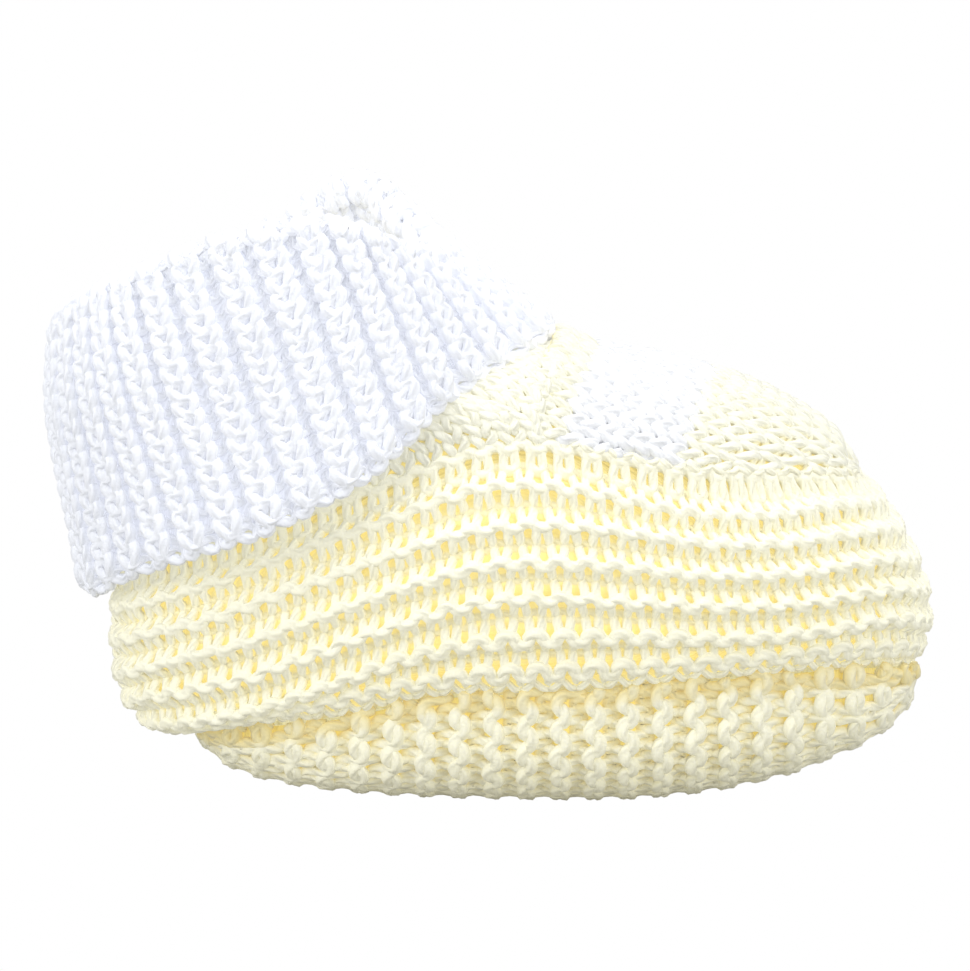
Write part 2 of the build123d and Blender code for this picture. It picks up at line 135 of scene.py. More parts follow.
def outward(surface, first, second, first_step, second_step, centre, core=0.0):
    """Unit normal of surface(first, second), pointing away from centre, or from a line
    along X through it that reaches core to each side."""
    normal = unit(np.cross(
        surface(first + first_step, second) - surface(first - first_step, second),
        surface(first, second + second_step) - surface(first, second - second_step)))
    away = surface(first, second) - np.array(centre)
    away[..., 0] = np.sign(away[..., 0]) * np.maximum(np.abs(away[..., 0]) - core, 0)
    sign = np.sign(np.sum(normal * away, axis=-1, keepdims=True))
    sign[sign == 0] = 1
    return normal * sign


# ---------------------------------------------------------------------------
# Side wall.  Its levels are garter ridges counted up from the sole seam.
# ---------------------------------------------------------------------------
# one entry per level: ridge, heel end, toe end, half width
WALL_RIDGE = [0.0, 0.5, 1.5, 2.5, 3.5, 4.5, 5.5, 6.4]
WALL_HEEL_X = [-37.5, -40.3, -43.6, -45.9, -47.0, -47.3, -47.2, -46.6]
WALL_TOE_X = [50.4, 51.5, 52.4, 52.0, 50.6, 48.6, 46.2, 43.4]
WALL_HALF_WIDTH = [22.6, 24.2, 25.6, 26.2, 26.1, 25.2, 23.6, 21.6]
# heights: a row per level, a column per station, given as a share of the length
WALL_STATION = [0, .03, .08, .15, .22, .3, .38, .46, .54, .62, .7, .78, .86, .93, .975, 1]
WALL_Z = [
    [7.5, 8.0, 8.9, 9.9, 11.2, 13.4, 14.6, 15.1, 15.5, 16.0, 16.5, 16.8, 16.9, 16.7, 15.9, 15.0],
    [6.6, 7.5, 8.9, 10.9, 13.0, 15.2, 16.8, 17.7, 18.2, 18.5, 18.8, 19.0, 19.2, 19.1, 18.1, 16.8],
    [7.6, 8.4, 9.7, 11.7, 14.4, 17.9, 20.6, 22.1, 22.5, 22.4, 22.1, 21.9, 22.2, 22.7, 21.8, 20.4],
    [10.2, 12.0, 13.8, 15.9, 18.6, 21.9, 24.9, 26.9, 27.4, 27.0, 26.3, 25.9, 26.0, 26.4, 25.8,
     24.4],
    [14.0, 15.6, 17.6, 19.9, 22.6, 25.9, 29.0, 31.2, 31.8, 31.3, 30.3, 29.7, 29.8, 30.2, 29.7,
     28.4],
    [18.2, 19.7, 21.5, 24.0, 26.9, 30.0, 33.0, 35.5, 36.3, 35.7, 34.4, 33.4, 33.3, 33.6, 33.3,
     32.2],
    [22.4, 23.6, 25.4, 28.0, 30.9, 34.1, 37.0, 39.9, 41.0, 40.0, 38.2, 36.9, 36.6, 36.9, 36.5,
     35.6],
    [27.6, 28.2, 29.6, 31.8, 34.5, 37.5, 40.5, 43.3, 44.8, 44.2, 42.6, 41.2, 40.5, 40.0, 39.2,
     38.6],
]
WALL_TOP = WALL_RIDGE[-1]
HEEL_NARROW = 0.82           # heel width over ball width
END_ROUND = 0.72             # roundness of the heel and toe in plan
LEVEL_STEP = 0.2             # ridges between the levels of the wall's lattice
PLUMB_LEVEL = 13             # lattice level whose columns the others stand over

wall_heel_x = smooth_curve(WALL_RIDGE, WALL_HEEL_X)
wall_toe_x = smooth_curve(WALL_RIDGE, WALL_TOE_X)
wall_half_width = smooth_curve(WALL_RIDGE, WALL_HALF_WIDTH)
wall_heights = smooth_curve(WALL_RIDGE, WALL_Z)


def plan_half(share, half_width):
    """Half width in plan at a share of the length from the heel."""
    angle = np.arccos(np.clip(1 - 2 * share, -1, 1))
    taper = HEEL_NARROW + (1 - HEEL_NARROW) * ease_in(share, 0.08, 0.52)
    return half_width * taper * np.sin(angle) ** END_ROUND


def wall_loop(ridge, count):
    """Closed loop of the wall at one level, from the heel centre along -Y to the toe and
    back along +Y, evenly spaced."""
    share = (1 - np.cos(np.linspace(0, math.pi, 700))) / 2
    heel = float(wall_heel_x(ridge))
    toe = float(wall_toe_x(ridge))
    x = heel + share * (toe - heel)
    y = plan_half(share, float(wall_half_width(ridge)))
    z = smooth_curve(WALL_STATION, wall_heights(ridge))(share)
    near = np.stack([x, -y, z], 1)
    far = np.stack([x, y, z], 1)[::-1][1:]
    return even(np.concatenate([near, far]), count)


def wall_edge(x, level):
    """Half width and height at length x of a tabled level (0 the foot, -1 the top)."""
    heel, toe = WALL_HEEL_X[level], WALL_TOE_X[level]
    share = np.clip((x - heel) / (toe - heel), 0, 1)
    height = smooth_curve(WALL_STATION, WALL_Z[level])(share)
    return plan_half(share, WALL_HALF_WIDTH[level]), height


def straighten(loop, plumb_x):
    """Slide a loop's points so columns of stitches stand upright along its sides."""
    around = np.linspace(0, 1, LOOP_STEPS + 1)
    near = np.minimum(around, 1 - around)
    side = ease_in(near, 0.03, 0.10) * ease_out(near, 0.435, 0.12)
    steps = np.arange(HALF_STEPS + 1)
    target_x = np.interp(near * LOOP_STEPS, steps, plumb_x)
    upright = np.interp(target_x, loop[:HALF_STEPS + 1, 0], steps) / LOOP_STEPS
    upright = np.where(around > 0.5, 1 - upright, upright)
    moved = around + (upright - around) * side * 0.75
    return interp_points(moved * LOOP_STEPS, np.arange(LOOP_STEPS + 1), loop)


def wall_lattice():
    levels = np.arange(0, WALL_TOP + 0.0001, LEVEL_STEP)
    rings = [wall_loop(level, LOOP_STEPS + 1) for level in levels]
    plumb_x = rings[PLUMB_LEVEL][:HALF_STEPS + 1, 0]
    return np.array([straighten(ring, plumb_x) for ring in rings])


WALL_LATTICE = wall_lattice()


def wall_point(around, ridge):
    """Wall point; around 0..1 from the heel centre, carried on straight past its edges."""
    column = np.clip(around, 0, 1) * LOOP_STEPS
    inside = np.clip(ridge, 0.0, WALL_TOP)
    level = inside / LEVEL_STEP
    i = np.clip(np.floor(column).astype(int), 0, LOOP_STEPS - 1)
    j = np.clip(np.floor(level).astype(int), 0, len(WALL_LATTICE) - 2)
    across = (column - i)[..., None]
    up = (level - j)[..., None]
    lattice = WALL_LATTICE
    point = ((lattice[j, i] * (1 - across) + lattice[j, i + 1] * across) * (1 - up)
             + (lattice[j + 1, i] * (1 - across) + lattice[j + 1, i + 1] * across) * up)
    slope = (lattice[j + 1, i] - lattice[j, i]) / LEVEL_STEP
    return point + slope * (ridge - inside)[..., None]


def wall_normal(around, ridge):
    return outward(wall_point, np.clip(around, .006, .994), np.clip(ridge, 0.4, 6.0), 0.006, 0.3,
                   centre=(0, 0, 24.0), core=24.0)


# ---------------------------------------------------------------------------
# Sole and instep: panels symmetric about the plane Y = 0
# ---------------------------------------------------------------------------
# sole's height along its centre line
SOLE_X = [-37.5, -36, -33.6, -31.2, -28.8, -24, -19, -12, -5, 3, 12, 17, 22, 27, 32, 36, 40.8,
          43.5, 46, 48.3, 50.4]
SOLE_Z = [7.3, 5.2, 3.6, 2.6, 1.9, 1.1, .6, .15, 0, 0, 0, .1, .5, 1.1, 2.1, 3.1, 5.2,
          6.7, 8.6, 10.8, 14.6]
SOLE_FULL = 3.0              # fullness of the sole's section
# instep's crown height, from the ankle line to the toe
CROWN_X = [4, 7.2, 9.6, 11.2, 14.4, 19, 24, 28.8, 33.6, 38.4, 40.8, 43.4]
CROWN_Z = [57.0, 55.8, 54.6, 53.9, 53.2, 52.4, 51.2, 49.8, 47.8, 45.0, 43.0, 38.9]
INSTEP_X0 = 9.5              # instep starts here on the crown
INSTEP_X1 = 43.3             # and ends here at the toe
INSTEP_BOW = 4.6             # its rows bow toward the toe by this much

sole_height = smooth_curve(SOLE_X, SOLE_Z)
crown_height = smooth_curve(CROWN_X, CROWN_Z)


def sole_point(x, across):
    """Underside point; across runs -1 (near seam) to 1 (far seam)."""
    half, edge_z = wall_edge(x, 0)
    angle = across * math.pi / 2
    sine, cosine = np.sin(angle), np.abs(np.cos(angle))
    radius = (np.abs(sine) ** SOLE_FULL + cosine ** SOLE_FULL) ** (-1.0 / SOLE_FULL)
    z = edge_z - (edge_z - sole_height(x)) * cosine * radius
    return np.stack([x, half * sine * radius, z], -1)


def instep_point(crown_x, across):
    """Instep point; crown_x is the row's place on the crown, across runs -1..1."""
    bow = INSTEP_BOW * smooth01((INSTEP_X1 - crown_x) / 14.0)
    x = crown_x - bow * np.abs(across) ** 1.7
    half, edge_z = wall_edge(x, -1)
    dome = (1 - np.abs(across) ** 2.3) ** 0.72
    z = edge_z + np.maximum(crown_height(x) - edge_z, 0) * dome
    return np.stack([x, half * across, z], -1)


def bilinear(table, row, column):
    row = np.clip(row, 0, table.shape[0] - 1.0001)
    column = np.clip(column, 0, table.shape[1] - 1.0001)
    i, j = row.astype(int), column.astype(int)
    down, over = row - i, column - j
    return (table[i, j] * (1 - down) * (1 - over) + table[i + 1, j] * down * (1 - over)
            + table[i, j + 1] * (1 - down) * over + table[i + 1, j + 1] * down * over)


class Panel:
    """A surface point(x, across) addressed by x and by mm of arc from its centre line."""
    EDGE = 1.2               # normals nearer a side edge are taken this far inside it

    def __init__(self, point, stations, end_margins, step, centre, core=0.0):
        self.point = point
        self.stations = stations
        self.normal_range = (stations[0] + end_margins[0], stations[-1] - end_margins[1])
        self.normal_step = step
        self.centre = centre
        self.core = core
        across = np.linspace(-1, 1, 121)
        share = (np.linspace(-1, 1, 161) + 1) / 2
        arcs = path_length(np.array([point(np.full(across.shape, x), across)
                                     for x in stations]))
        self.widths = arcs[:, -1]
        self.across = np.array([np.interp(share * arc[-1], arc, across) for arc in arcs])

    def half(self, x):
        """Arc from the centre line to an edge."""
        return np.interp(x, self.stations, self.widths) / 2

    def at(self, x, arc):
        first, last = self.stations[0], self.stations[-1]
        x = np.clip(x, first, last)
        share = np.clip(arc / self.half(x), -1, 1)
        rows, columns = self.across.shape
        across = bilinear(self.across, (x - first) / (last - first) * (rows - 1),
                          (share + 1) / 2 * (columns - 1))
        return self.point(x, across)

    def normal(self, x, arc):
        x = np.clip(x, *self.normal_range)
        half = self.half(x)
        arc = np.clip(arc, -half + self.EDGE, half - self.EDGE)
        return outward(self.at, x, arc, self.normal_step, self.normal_step,
                       self.centre, self.core)


SOLE = Panel(sole_point, np.linspace(-37.3, 50.2, 141), end_margins=(2.2, 2.2), step=0.6,
             centre=(6.0, 0.0, 22.0), core=36)
INSTEP = Panel(instep_point, np.linspace(INSTEP_X0 - 2.0, INSTEP_X1, 85),
               end_margins=(0.8, 1.6), step=0.5, centre=(15.0, 0.0, 25.0))

# ---------------------------------------------------------------------------
# Cuff, and the leg layer inside it
# ---------------------------------------------------------------------------
# (x, y, z) of the near side's hem and rim, from the back centre to the front centre
HEM = [(-51.6, 0, 24.2), (-49.7, -7.5, 25.2), (-45.6, -13.5, 28.2), (-40, -18.8, 31),
       (-33.6, -22.6, 33.6), (-27.6, -24.8, 36.1), (-21.6, -26, 39.1), (-16, -25.8, 42.3),
       (-11, -24.2, 46.2), (-6, -21, 50.6), (-1.6, -16.5, 53), (1.6, -12.5, 54.6),
       (4.8, -7, 56.2), (6.9, 0, 57.0)]
RIM = [(-54.0, 0, 57.2), (-53.2, -4.5, 59.4), (-50.3, -8.6, 61.9), (-46, -11.6, 64.4),
       (-41, -13.8, 66.6), (-36, -15.7, 68.8), (-31, -17.3, 70.4), (-26, -18.4, 71.3),
       (-20, -19, 71.9), (-15, -18, 70.8), (-11.2, -15, 69.0), (-8.7, -10.5, 67.9),
       (-7.4, -5.3, 67.3), (-7, 0, 67.2)]
# heights of the rim's far side, at the mirrored points
RIM_FAR_Z = [57.2, 58.2, 59.6, 60.8, 61.9, 63.9, 66.1, 68.6, 72.3, 72.7, 70.2, 68.2, 67.5, 67.2]
LEG_AXIS = np.array((-0.454, 0.0, 0.891))   # the leg leans back over the heel
LEG_CENTRE = np.array((-23.0, 0.0, 42.0))
LEG_DROP = 4.5               # the leg layer lies this far inside the cuff


def closed_outline(near, far_z=None):
    """Smooth closed loop through the near side's points and their mirror images."""
    near = np.array(near, float)
    far = near * MIRROR_Y
    if far_z is not None:
        far[:, 2] = far_z
    points = np.concatenate([near, far[::-1][1:]])
    # three points are repeated past each end, so the curve closes smoothly
    wrapped = np.concatenate([points[-4:-1], points, points[1:4]])
    length = path_length(wrapped)
    curve = smooth_curve(length, wrapped)
    return even(curve(np.linspace(length[3], length[-4], 1500)), LOOP_STEPS + 1)


HEM_LOOP = closed_outline(HEM)
RIM_LOOP = closed_outline(RIM, RIM_FAR_Z)
# the ribs lean back from hem to rim, so their spacing along the rim is uneven
rim_place = smooth_curve([0, .08, .15, .2, .25, .3, .4, .5],
                         [0, .066, .115, .163, .224, .288, .39, .5])


def cuff_point(around, height):
    """Outside of the turned-down cuff; around 0..1 from the back centre, height 0 at the
    hem and 1 at the rim."""
    around = np.clip(around, 0.0, 1.0)
    on_rim = np.where(around <= 0.5, rim_place(np.minimum(around, 0.5)),
                      1.0 - rim_place(np.minimum(1.0 - around, 0.5)))
    steps = np.arange(LOOP_STEPS + 1)
    hem = interp_points(around * LOOP_STEPS, steps, HEM_LOOP)
    rim = interp_points(on_rim * LOOP_STEPS, steps, RIM_LOOP)
    point = hem + (rim - hem) * height[..., None]
    out = point - LEG_CENTRE
    out = unit(out - (out @ LEG_AXIS)[..., None] * LEG_AXIS)
    back = ease_in(-out[..., 0], 0.1, 0.8)
    front = ease_in(out[..., 0], 0.1, 0.7)
    # 6.75 h h (1 - h) peaks at 1, two thirds of the way up
    bulge = (1.1 + 1.0 * back - 1.0 * front) * 6.75 * height * height * (1 - height)
    return point + out * bulge[..., None]


def cuff_normal(around, height):
    return outward(cuff_point, np.clip(around, 0.004, 0.996), np.clip(height, 0.01, 0.99),
                   0.004, 0.01, LEG_CENTRE)


def leg_point(around, height):
    """Leg layer inside the cuff, set deeper low down at the front."""
    normal = cuff_normal(around, height)
    drop = LEG_DROP + 1.5 * ease_in(normal[..., 0], 0.2, 0.4) * (1 - ease_in(height, 0.45, 0.5))
    return cuff_point(around, height) - normal * drop[..., None]


# ---------------------------------------------------------------------------
# Ankle band
# ---------------------------------------------------------------------------
ANKLE_TOP = 0.40             # the band ends at this height of the leg


def ankle_outline():
    """Lower edge of the band: the side wall's top edge round the heel, then across the
    front where the instep begins."""
    near = wall_loop(WALL_TOP, 2 * LOOP_STEPS + 1)[:LOOP_STEPS + 1]
    front = instep_point(INSTEP_X0, np.linspace(-1, 0, 120))
    behind = near[near[:, 0] < front[0, 0] - 1.0]
    half = even(np.concatenate([behind, front]), HALF_STEPS + 1)
    return np.concatenate([half, half[::-1][1:] * MIRROR_Y])


ANKLE_LOOP = ankle_outline()


def ankle_point(around, height):
    """Ankle band; height 0 at the foot, 1 at the leg."""
    around = np.clip(around, 0.0, 1.0)
    foot = interp_points(around * LOOP_STEPS, np.arange(LOOP_STEPS + 1), ANKLE_LOOP)
    level = ANKLE_TOP + 0 * around
    leg = leg_point(around, level)
    gap = np.linalg.norm(leg - foot, axis=-1, keepdims=True)
    front = ease_in(1 - np.abs(around - 0.5) * 2, 0.74, 0.22)[..., None]
    rising = (1 - front) * np.array([0, 0, 1.0]) + front * np.array([-0.86, 0, 0.50])
    up_leg = unit(leg_point(around, level + 0.03) - leg_point(around, level - 0.03))
    return hermite(height[..., None], foot, rising * gap * (0.9 - 0.15 * front),
                   leg, up_leg * gap * 0.9)


def ankle_normal(around, height):
    return outward(ankle_point, np.clip(around, .006, .994), np.clip(height, 0.04, 0.96),
                   0.006, 0.03, centre=(-20, 0, 36.0))


# ---------------------------------------------------------------------------
# Knitting.  Every row of stitches is one yarn, bent into loops over the
# fabric's surface and swept as a soft plied tube.
# ---------------------------------------------------------------------------
class Yarn:
    """Collects tubes and linings into one mesh.  Material 0 is yarn, 1 a darker glowing yarn,
    painted glow and shade for the hollows.
    """

    def __init__(self):
        self.count = 0
        self.points, self.coords, self.deep = [], [], []
        self.faces, self.materials = [], []

    def add(self, points, coords, deep, faces, materials):
        """faces has four columns; a triangle's last entry is -1."""
        self.points.append(points)
        self.coords.append(coords)
        self.deep.append(deep)
        self.faces.append(np.where(faces < 0, -1, faces + self.count))
        self.materials.append(materials)
        self.count += len(points)

    def tube(self, points, normals, radius, phase=0.0, groove=0.09, material=0, start=0.0,
             deep=0.0):
        """Sweep a closed plied tube.  start is the yarn's length before points[0]; deep is how
        far each point lies in the fabric's recesses, 0..1, and sets how much painted shade it
        takes."""
        count = len(points)
        along = unit(np.gradient(points, axis=0))
        side = unit(np.cross(along, normals))
        top = np.cross(side, along)
        arc = start + path_length(points)
        angle = np.linspace(0, 2 * math.pi, YARN_SIDES, endpoint=False)[None, :]
        radius = np.broadcast_to(radius, (count,))[:, None]
        plied = radius * (1 + groove * np.cos(PLIES * angle + PLY_TWIST * arc[:, None] + phase))
        rings = (points[:, None, :] + side[:, None, :] * (plied * np.cos(angle))[..., None]
                 + top[:, None, :] * (plied * np.sin(angle))[..., None])
        tips = np.stack([points[0] - along[0] * radius[0] * 0.5,
                         points[-1] + along[-1] * radius[-1] * 0.5])
        coords = np.stack(np.broadcast_arrays(arc[:, None], angle / (2 * math.pi), phase), -1)
        tip_coords = np.array([[0, 0, phase], [arc[-1], 0, phase]])
        deep = np.broadcast_to(deep, (count,))
        # painted shade: the yarn's side toward the back of the fabric takes more of the recess
        # shade than its outer side
        skin = np.clip(deep[:, None] - 0.30 * np.sin(angle), 0, 1)
        # painted shade kept off the fabric's inside: that side stays pale, and only the recesses
        # of its outside take the painted shade and glow
        skin = skin * (1 - 0.8 * ease_in(-np.sin(angle), 0.35, 0.4))

        ring = np.arange(count - 1)[:, None] * YARN_SIDES
        here = np.arange(YARN_SIDES)
        after = (here + 1) % YARN_SIDES
        quads = np.stack([ring + here, ring + after, ring + YARN_SIDES + after,
                          ring + YARN_SIDES + here], -1).reshape(-1, 4)
        tip = np.full(YARN_SIDES, count * YARN_SIDES)
        last = (count - 1) * YARN_SIDES
        none = np.full(YARN_SIDES, -1)
        faces = np.concatenate([quads, np.stack([tip, after, here, none], -1),
                                np.stack([tip + 1, last + here, last + after, none], -1)])
        self.add(np.concatenate([rings.reshape(-1, 3), tips]),
                 np.concatenate([coords.reshape(-1, 3), tip_coords]),
                 np.concatenate([skin.ravel(), [deep[0], deep[-1]]]),
                 faces, np.full(len(faces), material))

    def runs(self, points, normals, keep, radius, phase, deep=0.0):
        """Tubes along the parts of a row that are kept."""
        kept = np.flatnonzero(keep)
        if not len(kept):
            return
        arc = path_length(points)
        radius = np.broadcast_to(radius, (len(points),))
        deep = np.broadcast_to(deep, (len(points),))
        for run in np.split(kept, np.flatnonzero(np.diff(kept) > 1) + 1):
            first, end = max(run[0] - 1, 0), min(run[-1] + 2, len(points))
            if end - first > 5:
                part = slice(first, end)
                self.tube(points[part], normals[part], radius[part], phase=phase,
                          start=arc[first], deep=deep[part])

    def lining(self, firsts, seconds, surface, thickness=LINING):
        """Thin closed sheet behind the stitches; surface gives points and normals."""
        first, second = np.meshgrid(firsts, seconds, indexing="ij")
        front, normals = surface(first.ravel(), second.ravel())
        size = len(front)
        points = np.concatenate([front, front - normals * thickness])
        coords = np.concatenate([points[:, :2], np.zeros((len(points), 1))], 1)
        deep = np.concatenate([np.ones(size), np.full(size, 0.2)])

        index = np.arange(size).reshape(first.shape)
        outside = np.stack([index[:-1, :-1], index[1:, :-1], index[1:, 1:], index[:-1, 1:]],
                           -1).reshape(-1, 4)
        faces = [outside, outside[:, ::-1] + size]
        for edge, forward in ((index[0], True), (index[-1], False),
                              (index[:, 0], False), (index[:, -1], True)):
            quads = np.stack([edge[:-1], edge[1:], edge[1:] + size, edge[:-1] + size], -1)
            faces.append(quads if forward else quads[:, ::-1])
        faces = np.concatenate(faces)
        # the sheet stands in for the back of the fabric; its outer face, seen through the
        # stitches, takes material 1, painted glow and shade
        materials = np.full(len(faces), 1)
        # the face toward the foot is plain yarn
        materials[len(outside):2 * len(outside)] = 0
        self.add(points, coords, deep, faces, materials)

    def build(self, name, materials):
        points = np.concatenate(self.points) * MM
        faces = np.concatenate(self.faces)
        sizes = np.where(faces[:, 3] < 0, 3, 4)
        starts = np.concatenate([[0], np.cumsum(sizes)[:-1]])
        corners = faces.reshape(-1)
        corners = corners[corners >= 0]
        mesh = bpy.data.meshes.new(name)
        mesh.vertices.add(len(points))
        mesh.vertices.foreach_set("co", points.astype(np.float32).ravel())
        mesh.loops.add(len(corners))
        mesh.loops.foreach_set("vertex_index", corners.astype(np.int32))
        mesh.polygons.add(len(faces))
        mesh.polygons.foreach_set("loop_start", starts.astype(np.int32))
        mesh.polygons.foreach_set("use_smooth", np.ones(len(faces), bool))
        mesh.polygons.foreach_set("material_index",
                                  np.concatenate(self.materials).astype(np.int32))
        for material in materials:
            mesh.materials.append(material)
        # "yarn": mm along the yarn, share of a turn round it, phase of its plies
        coords = mesh.attributes.new("yarn", "FLOAT_VECTOR", "POINT")
        coords.data.foreach_set("vector", np.concatenate(self.coords).astype(np.float32).ravel())
        # deep: how much painted recess shade each point takes
        deep = mesh.attributes.new("deep", "FLOAT", "POINT")
        deep.data.foreach_set("value", np.concatenate(self.deep).astype(np.float32))
        mesh.update(calc_edges=True)
        mesh.validate()
        return link_object(name, mesh)


def link_object(name, data):
    new = bpy.data.objects.new(name, data)
    bpy.context.scene.collection.objects.link(new)
    return new


def stitch_row(first, last, lift, swing, height, slant=0.0):
    """Centre line of a row of stitches from column first to last.  lift turns the angle
    through a stitch into mm out of the fabric.  Returns the column, the height in rows, the
    lift, and how near a bend the yarn is (1 at the top and bottom of a loop, 0 half way up
    its legs)."""
    jitter = 0.035
    column = np.linspace(first, last, int(round((last - first) * STITCH_STEPS)) + 1)
    angle = 2 * math.pi * (column - 0.5)
    stitches = np.arange(int(math.floor(first)) - 1, int(math.ceil(last)) + 3)
    swing_jitter, height_jitter, place_jitter = [
        np.interp(column, stitches, RNG.normal(0, jitter, len(stitches))) for _ in range(3)]
    x = column + swing * (1 + 2 * swing_jitter) * np.sin(2 * angle) + slant * np.sin(angle)
    y = height * (1 + height_jitter) * np.cos(angle) + place_jitter
    return x, y, lift(angle), np.cos(angle) ** 2


def rib_lift(depth, rib):
    """One-by-one rib: stitches stand proud and sink by turns."""
    def lift(angle):
        wave = np.cos(angle / 2)
        return -depth * wave * np.cos(2 * angle) + rib * np.where(wave > 0, wave, 0.75 * wave)
    return lift


def garter_side(row):
    """Garter rows show their two faces by turns."""
    return 1.0 if row % 2 == 0 else -1.0


def random_phase():
    return RNG.uniform(0, 6)


# ---------------------------------------------------------------------------
# Materials
# ---------------------------------------------------------------------------
def add_node(tree, kind, inputs=None, **properties):
    """New shader node; inputs maps sockets to values, or to nodes or sockets that feed
    them."""
    new = tree.nodes.new("ShaderNode" + kind)
    for key, value in properties.items():
        setattr(new, key, value)
    for key, value in (inputs or {}).items():
        if isinstance(value, bpy.types.Node):
            value = value.outputs[0]
        if isinstance(value, bpy.types.NodeSocket):
            tree.links.new(value, new.inputs[key])
        else:
            new.inputs[key].default_value = value
    return new


def srgb(colour):
    """Linear RGBA of an 8-bit sRGB colour."""
    shares = [channel / 255.0 for channel in colour]
    return (*(share / 12.92 if share <= 0.04045 else ((share + 0.055) / 1.055) ** 2.4
              for share in shares), 1)


def yarn_material(name, light, dark, glow, recess_shade=None, sheen=0.35):
    """Plied yarn mottled from light to dark, with a painted glow; the recess colour is painted
    shade in the fabric's hollows.
    """
    material = bpy.data.materials.new(name)
    material.use_nodes = True
    tree = material.node_tree
    tree.nodes.clear()

    def maths(operation, *inputs, **properties):
        return add_node(tree, "Math", dict(enumerate(inputs)), operation=operation, **properties)

    def link(source, node, socket):
        tree.links.new(source.outputs[0], node.inputs[socket])

    output = add_node(tree, "OutputMaterial")
    # painted glow: an emission in the yarn's dark tone fills its shade, standing in for light
    # scattered through the yarn
    surface = add_node(tree, "BsdfPrincipled", {
        "Roughness": 0.85, "Sheen Weight": sheen, "Sheen Roughness": 0.5,
        "Specular IOR Level": 0.18, "Emission Color": srgb(dark), "Emission Strength": glow})
    yarn = add_node(tree, "Attribute", attribute_name="yarn")
    split = add_node(tree, "SeparateXYZ", {0: yarn.outputs["Vector"]})
    length, angle, phase = split.outputs[0], split.outputs[1], split.outputs[2]
    # turns of the plies, counted along and round the yarn
    turns = maths("MULTIPLY_ADD", length, PLY_TWIST / (2 * math.pi))
    link(maths("MULTIPLY", angle, PLIES), turns, 2)
    # fine grain in object space
    place = add_node(tree, "TexCoord").outputs["Object"]
    mapped = add_node(tree, "Mapping", {0: place})
    grain = add_node(tree, "TexNoise", {"Vector": mapped, "Scale": 4200.0, "Detail": 3.0})
    # fibres wind round the yarn with the plies
    wound = add_node(tree, "CombineXYZ", {0: turns, 2: phase})
    link(maths("MULTIPLY", length, 0.9), wound, 1)
    fibres = add_node(tree, "TexNoise", {"Vector": wound, "Scale": 5.0, "Detail": 4.0})
    drift = add_node(tree, "TexNoise", {"Vector": place, "Scale": 160.0})
    # colour: mottled by the fibres, with slow drift; each noise is scaled, then shifted
    tone = add_node(tree, "Mix", {"A": srgb(light), "B": srgb(dark)}, data_type="RGBA")
    fibre_tone = maths("MULTIPLY_ADD", fibres, 0.9, -0.32)
    drift_tone = maths("MULTIPLY_ADD", drift, 0.5, -0.18)
    link(maths("ADD", fibre_tone, drift_tone, use_clamp=True), tone, "Factor")
    colour = tone.outputs["Result"]
    if recess_shade is not None:
        # painted shade: the fabric's recesses are tinted toward the recess colour by the deep
        # attribute, standing in for light that reaches them through more yarn
        deep = add_node(tree, "Attribute", attribute_name="deep")
        depth = add_node(tree, "MapRange", {"From Min": 0.25, "From Max": 1.0,
                                            "Value": deep.outputs["Fac"]},
                         interpolation_type="SMOOTHSTEP")
        colour = add_node(tree, "Mix", {"Factor": depth, "A": colour, "B": srgb(recess_shade)},
                          data_type="RGBA").outputs["Result"]
    tree.links.new(colour, surface.inputs["Base Color"])
    # bump: plies, fibres and grain, each scaled by its share of the relief
    ply_wave = maths("COSINE", maths("MULTIPLY", turns, 2 * math.pi))
    ply_relief = maths("MULTIPLY_ADD", ply_wave, 0.55)
    relief = maths("MULTIPLY_ADD", fibres, 0.55, ply_relief)
    link(maths("MULTIPLY", grain, 0.35), ply_relief, 2)
    bump = add_node(tree, "Bump", {"Strength": 0.7, "Distance": 0.00030, "Height": relief})
    link(bump, surface, "Normal")
    link(surface, output, 0)
    return material


# the darker, strongly glowing looks paint the glow and shade in the hollows behind the stitches
# and in the sole seam's core
YARN_LOOKS = {
    "yellow_yarn": dict(light=(250, 248, 231), dark=(248, 243, 210), recess_shade=(246, 230, 160),
                        glow=0.21),
    "yellow_yarn_glow_shade": dict(light=(248, 234, 172), dark=(247, 229, 157), sheen=0.1, glow=0.38),
    # the sole's looks are darker copies, painted shade on the underside, which faces down
    "yellow_yarn_sole": dict(light=(252, 250, 232), dark=(249, 243, 205),
                             recess_shade=(240, 219, 140), glow=0.165),
    "yellow_yarn_sole_glow_shade": dict(light=(245, 228, 152), dark=(242, 219, 134), sheen=0.1,
                                  glow=0.30),
    # the instep's looks take less painted glow, as the instep faces the top light
    "yellow_yarn_instep": dict(light=(249, 248, 235), dark=(246, 242, 215),
                               recess_shade=(246, 231, 162), glow=0.15),
    "white_yarn_instep": dict(light=(240, 241, 243), dark=(236, 237, 240),
                              recess_shade=(230, 231, 235), glow=0.17),
    "white_yarn": dict(light=(239, 240, 245), dark=(234, 237, 244), recess_shade=(222, 226, 235),
                       glow=0.25),
    "white_yarn_glow_shade": dict(light=(233, 235, 241), dark=(225, 227, 234), sheen=0.1, glow=0.42),
}
YARNS = {name: yarn_material(name, **look) for name, look in YARN_LOOKS.items()}
# (yarn, painted glow and shade) of each fabric
YELLOW = YARNS["yellow_yarn"], YARNS["yellow_yarn_glow_shade"]
SOLE_YELLOW = YARNS["yellow_yarn_sole"], YARNS["yellow_yarn_sole_glow_shade"]
FINE_YELLOW = YARNS["yellow_yarn_instep"], YARNS["yellow_yarn_glow_shade"]
FINE_WHITE = YARNS["white_yarn_instep"], YARNS["white_yarn_glow_shade"]
WHITE = YARNS["white_yarn"], YARNS["white_yarn_glow_shade"]


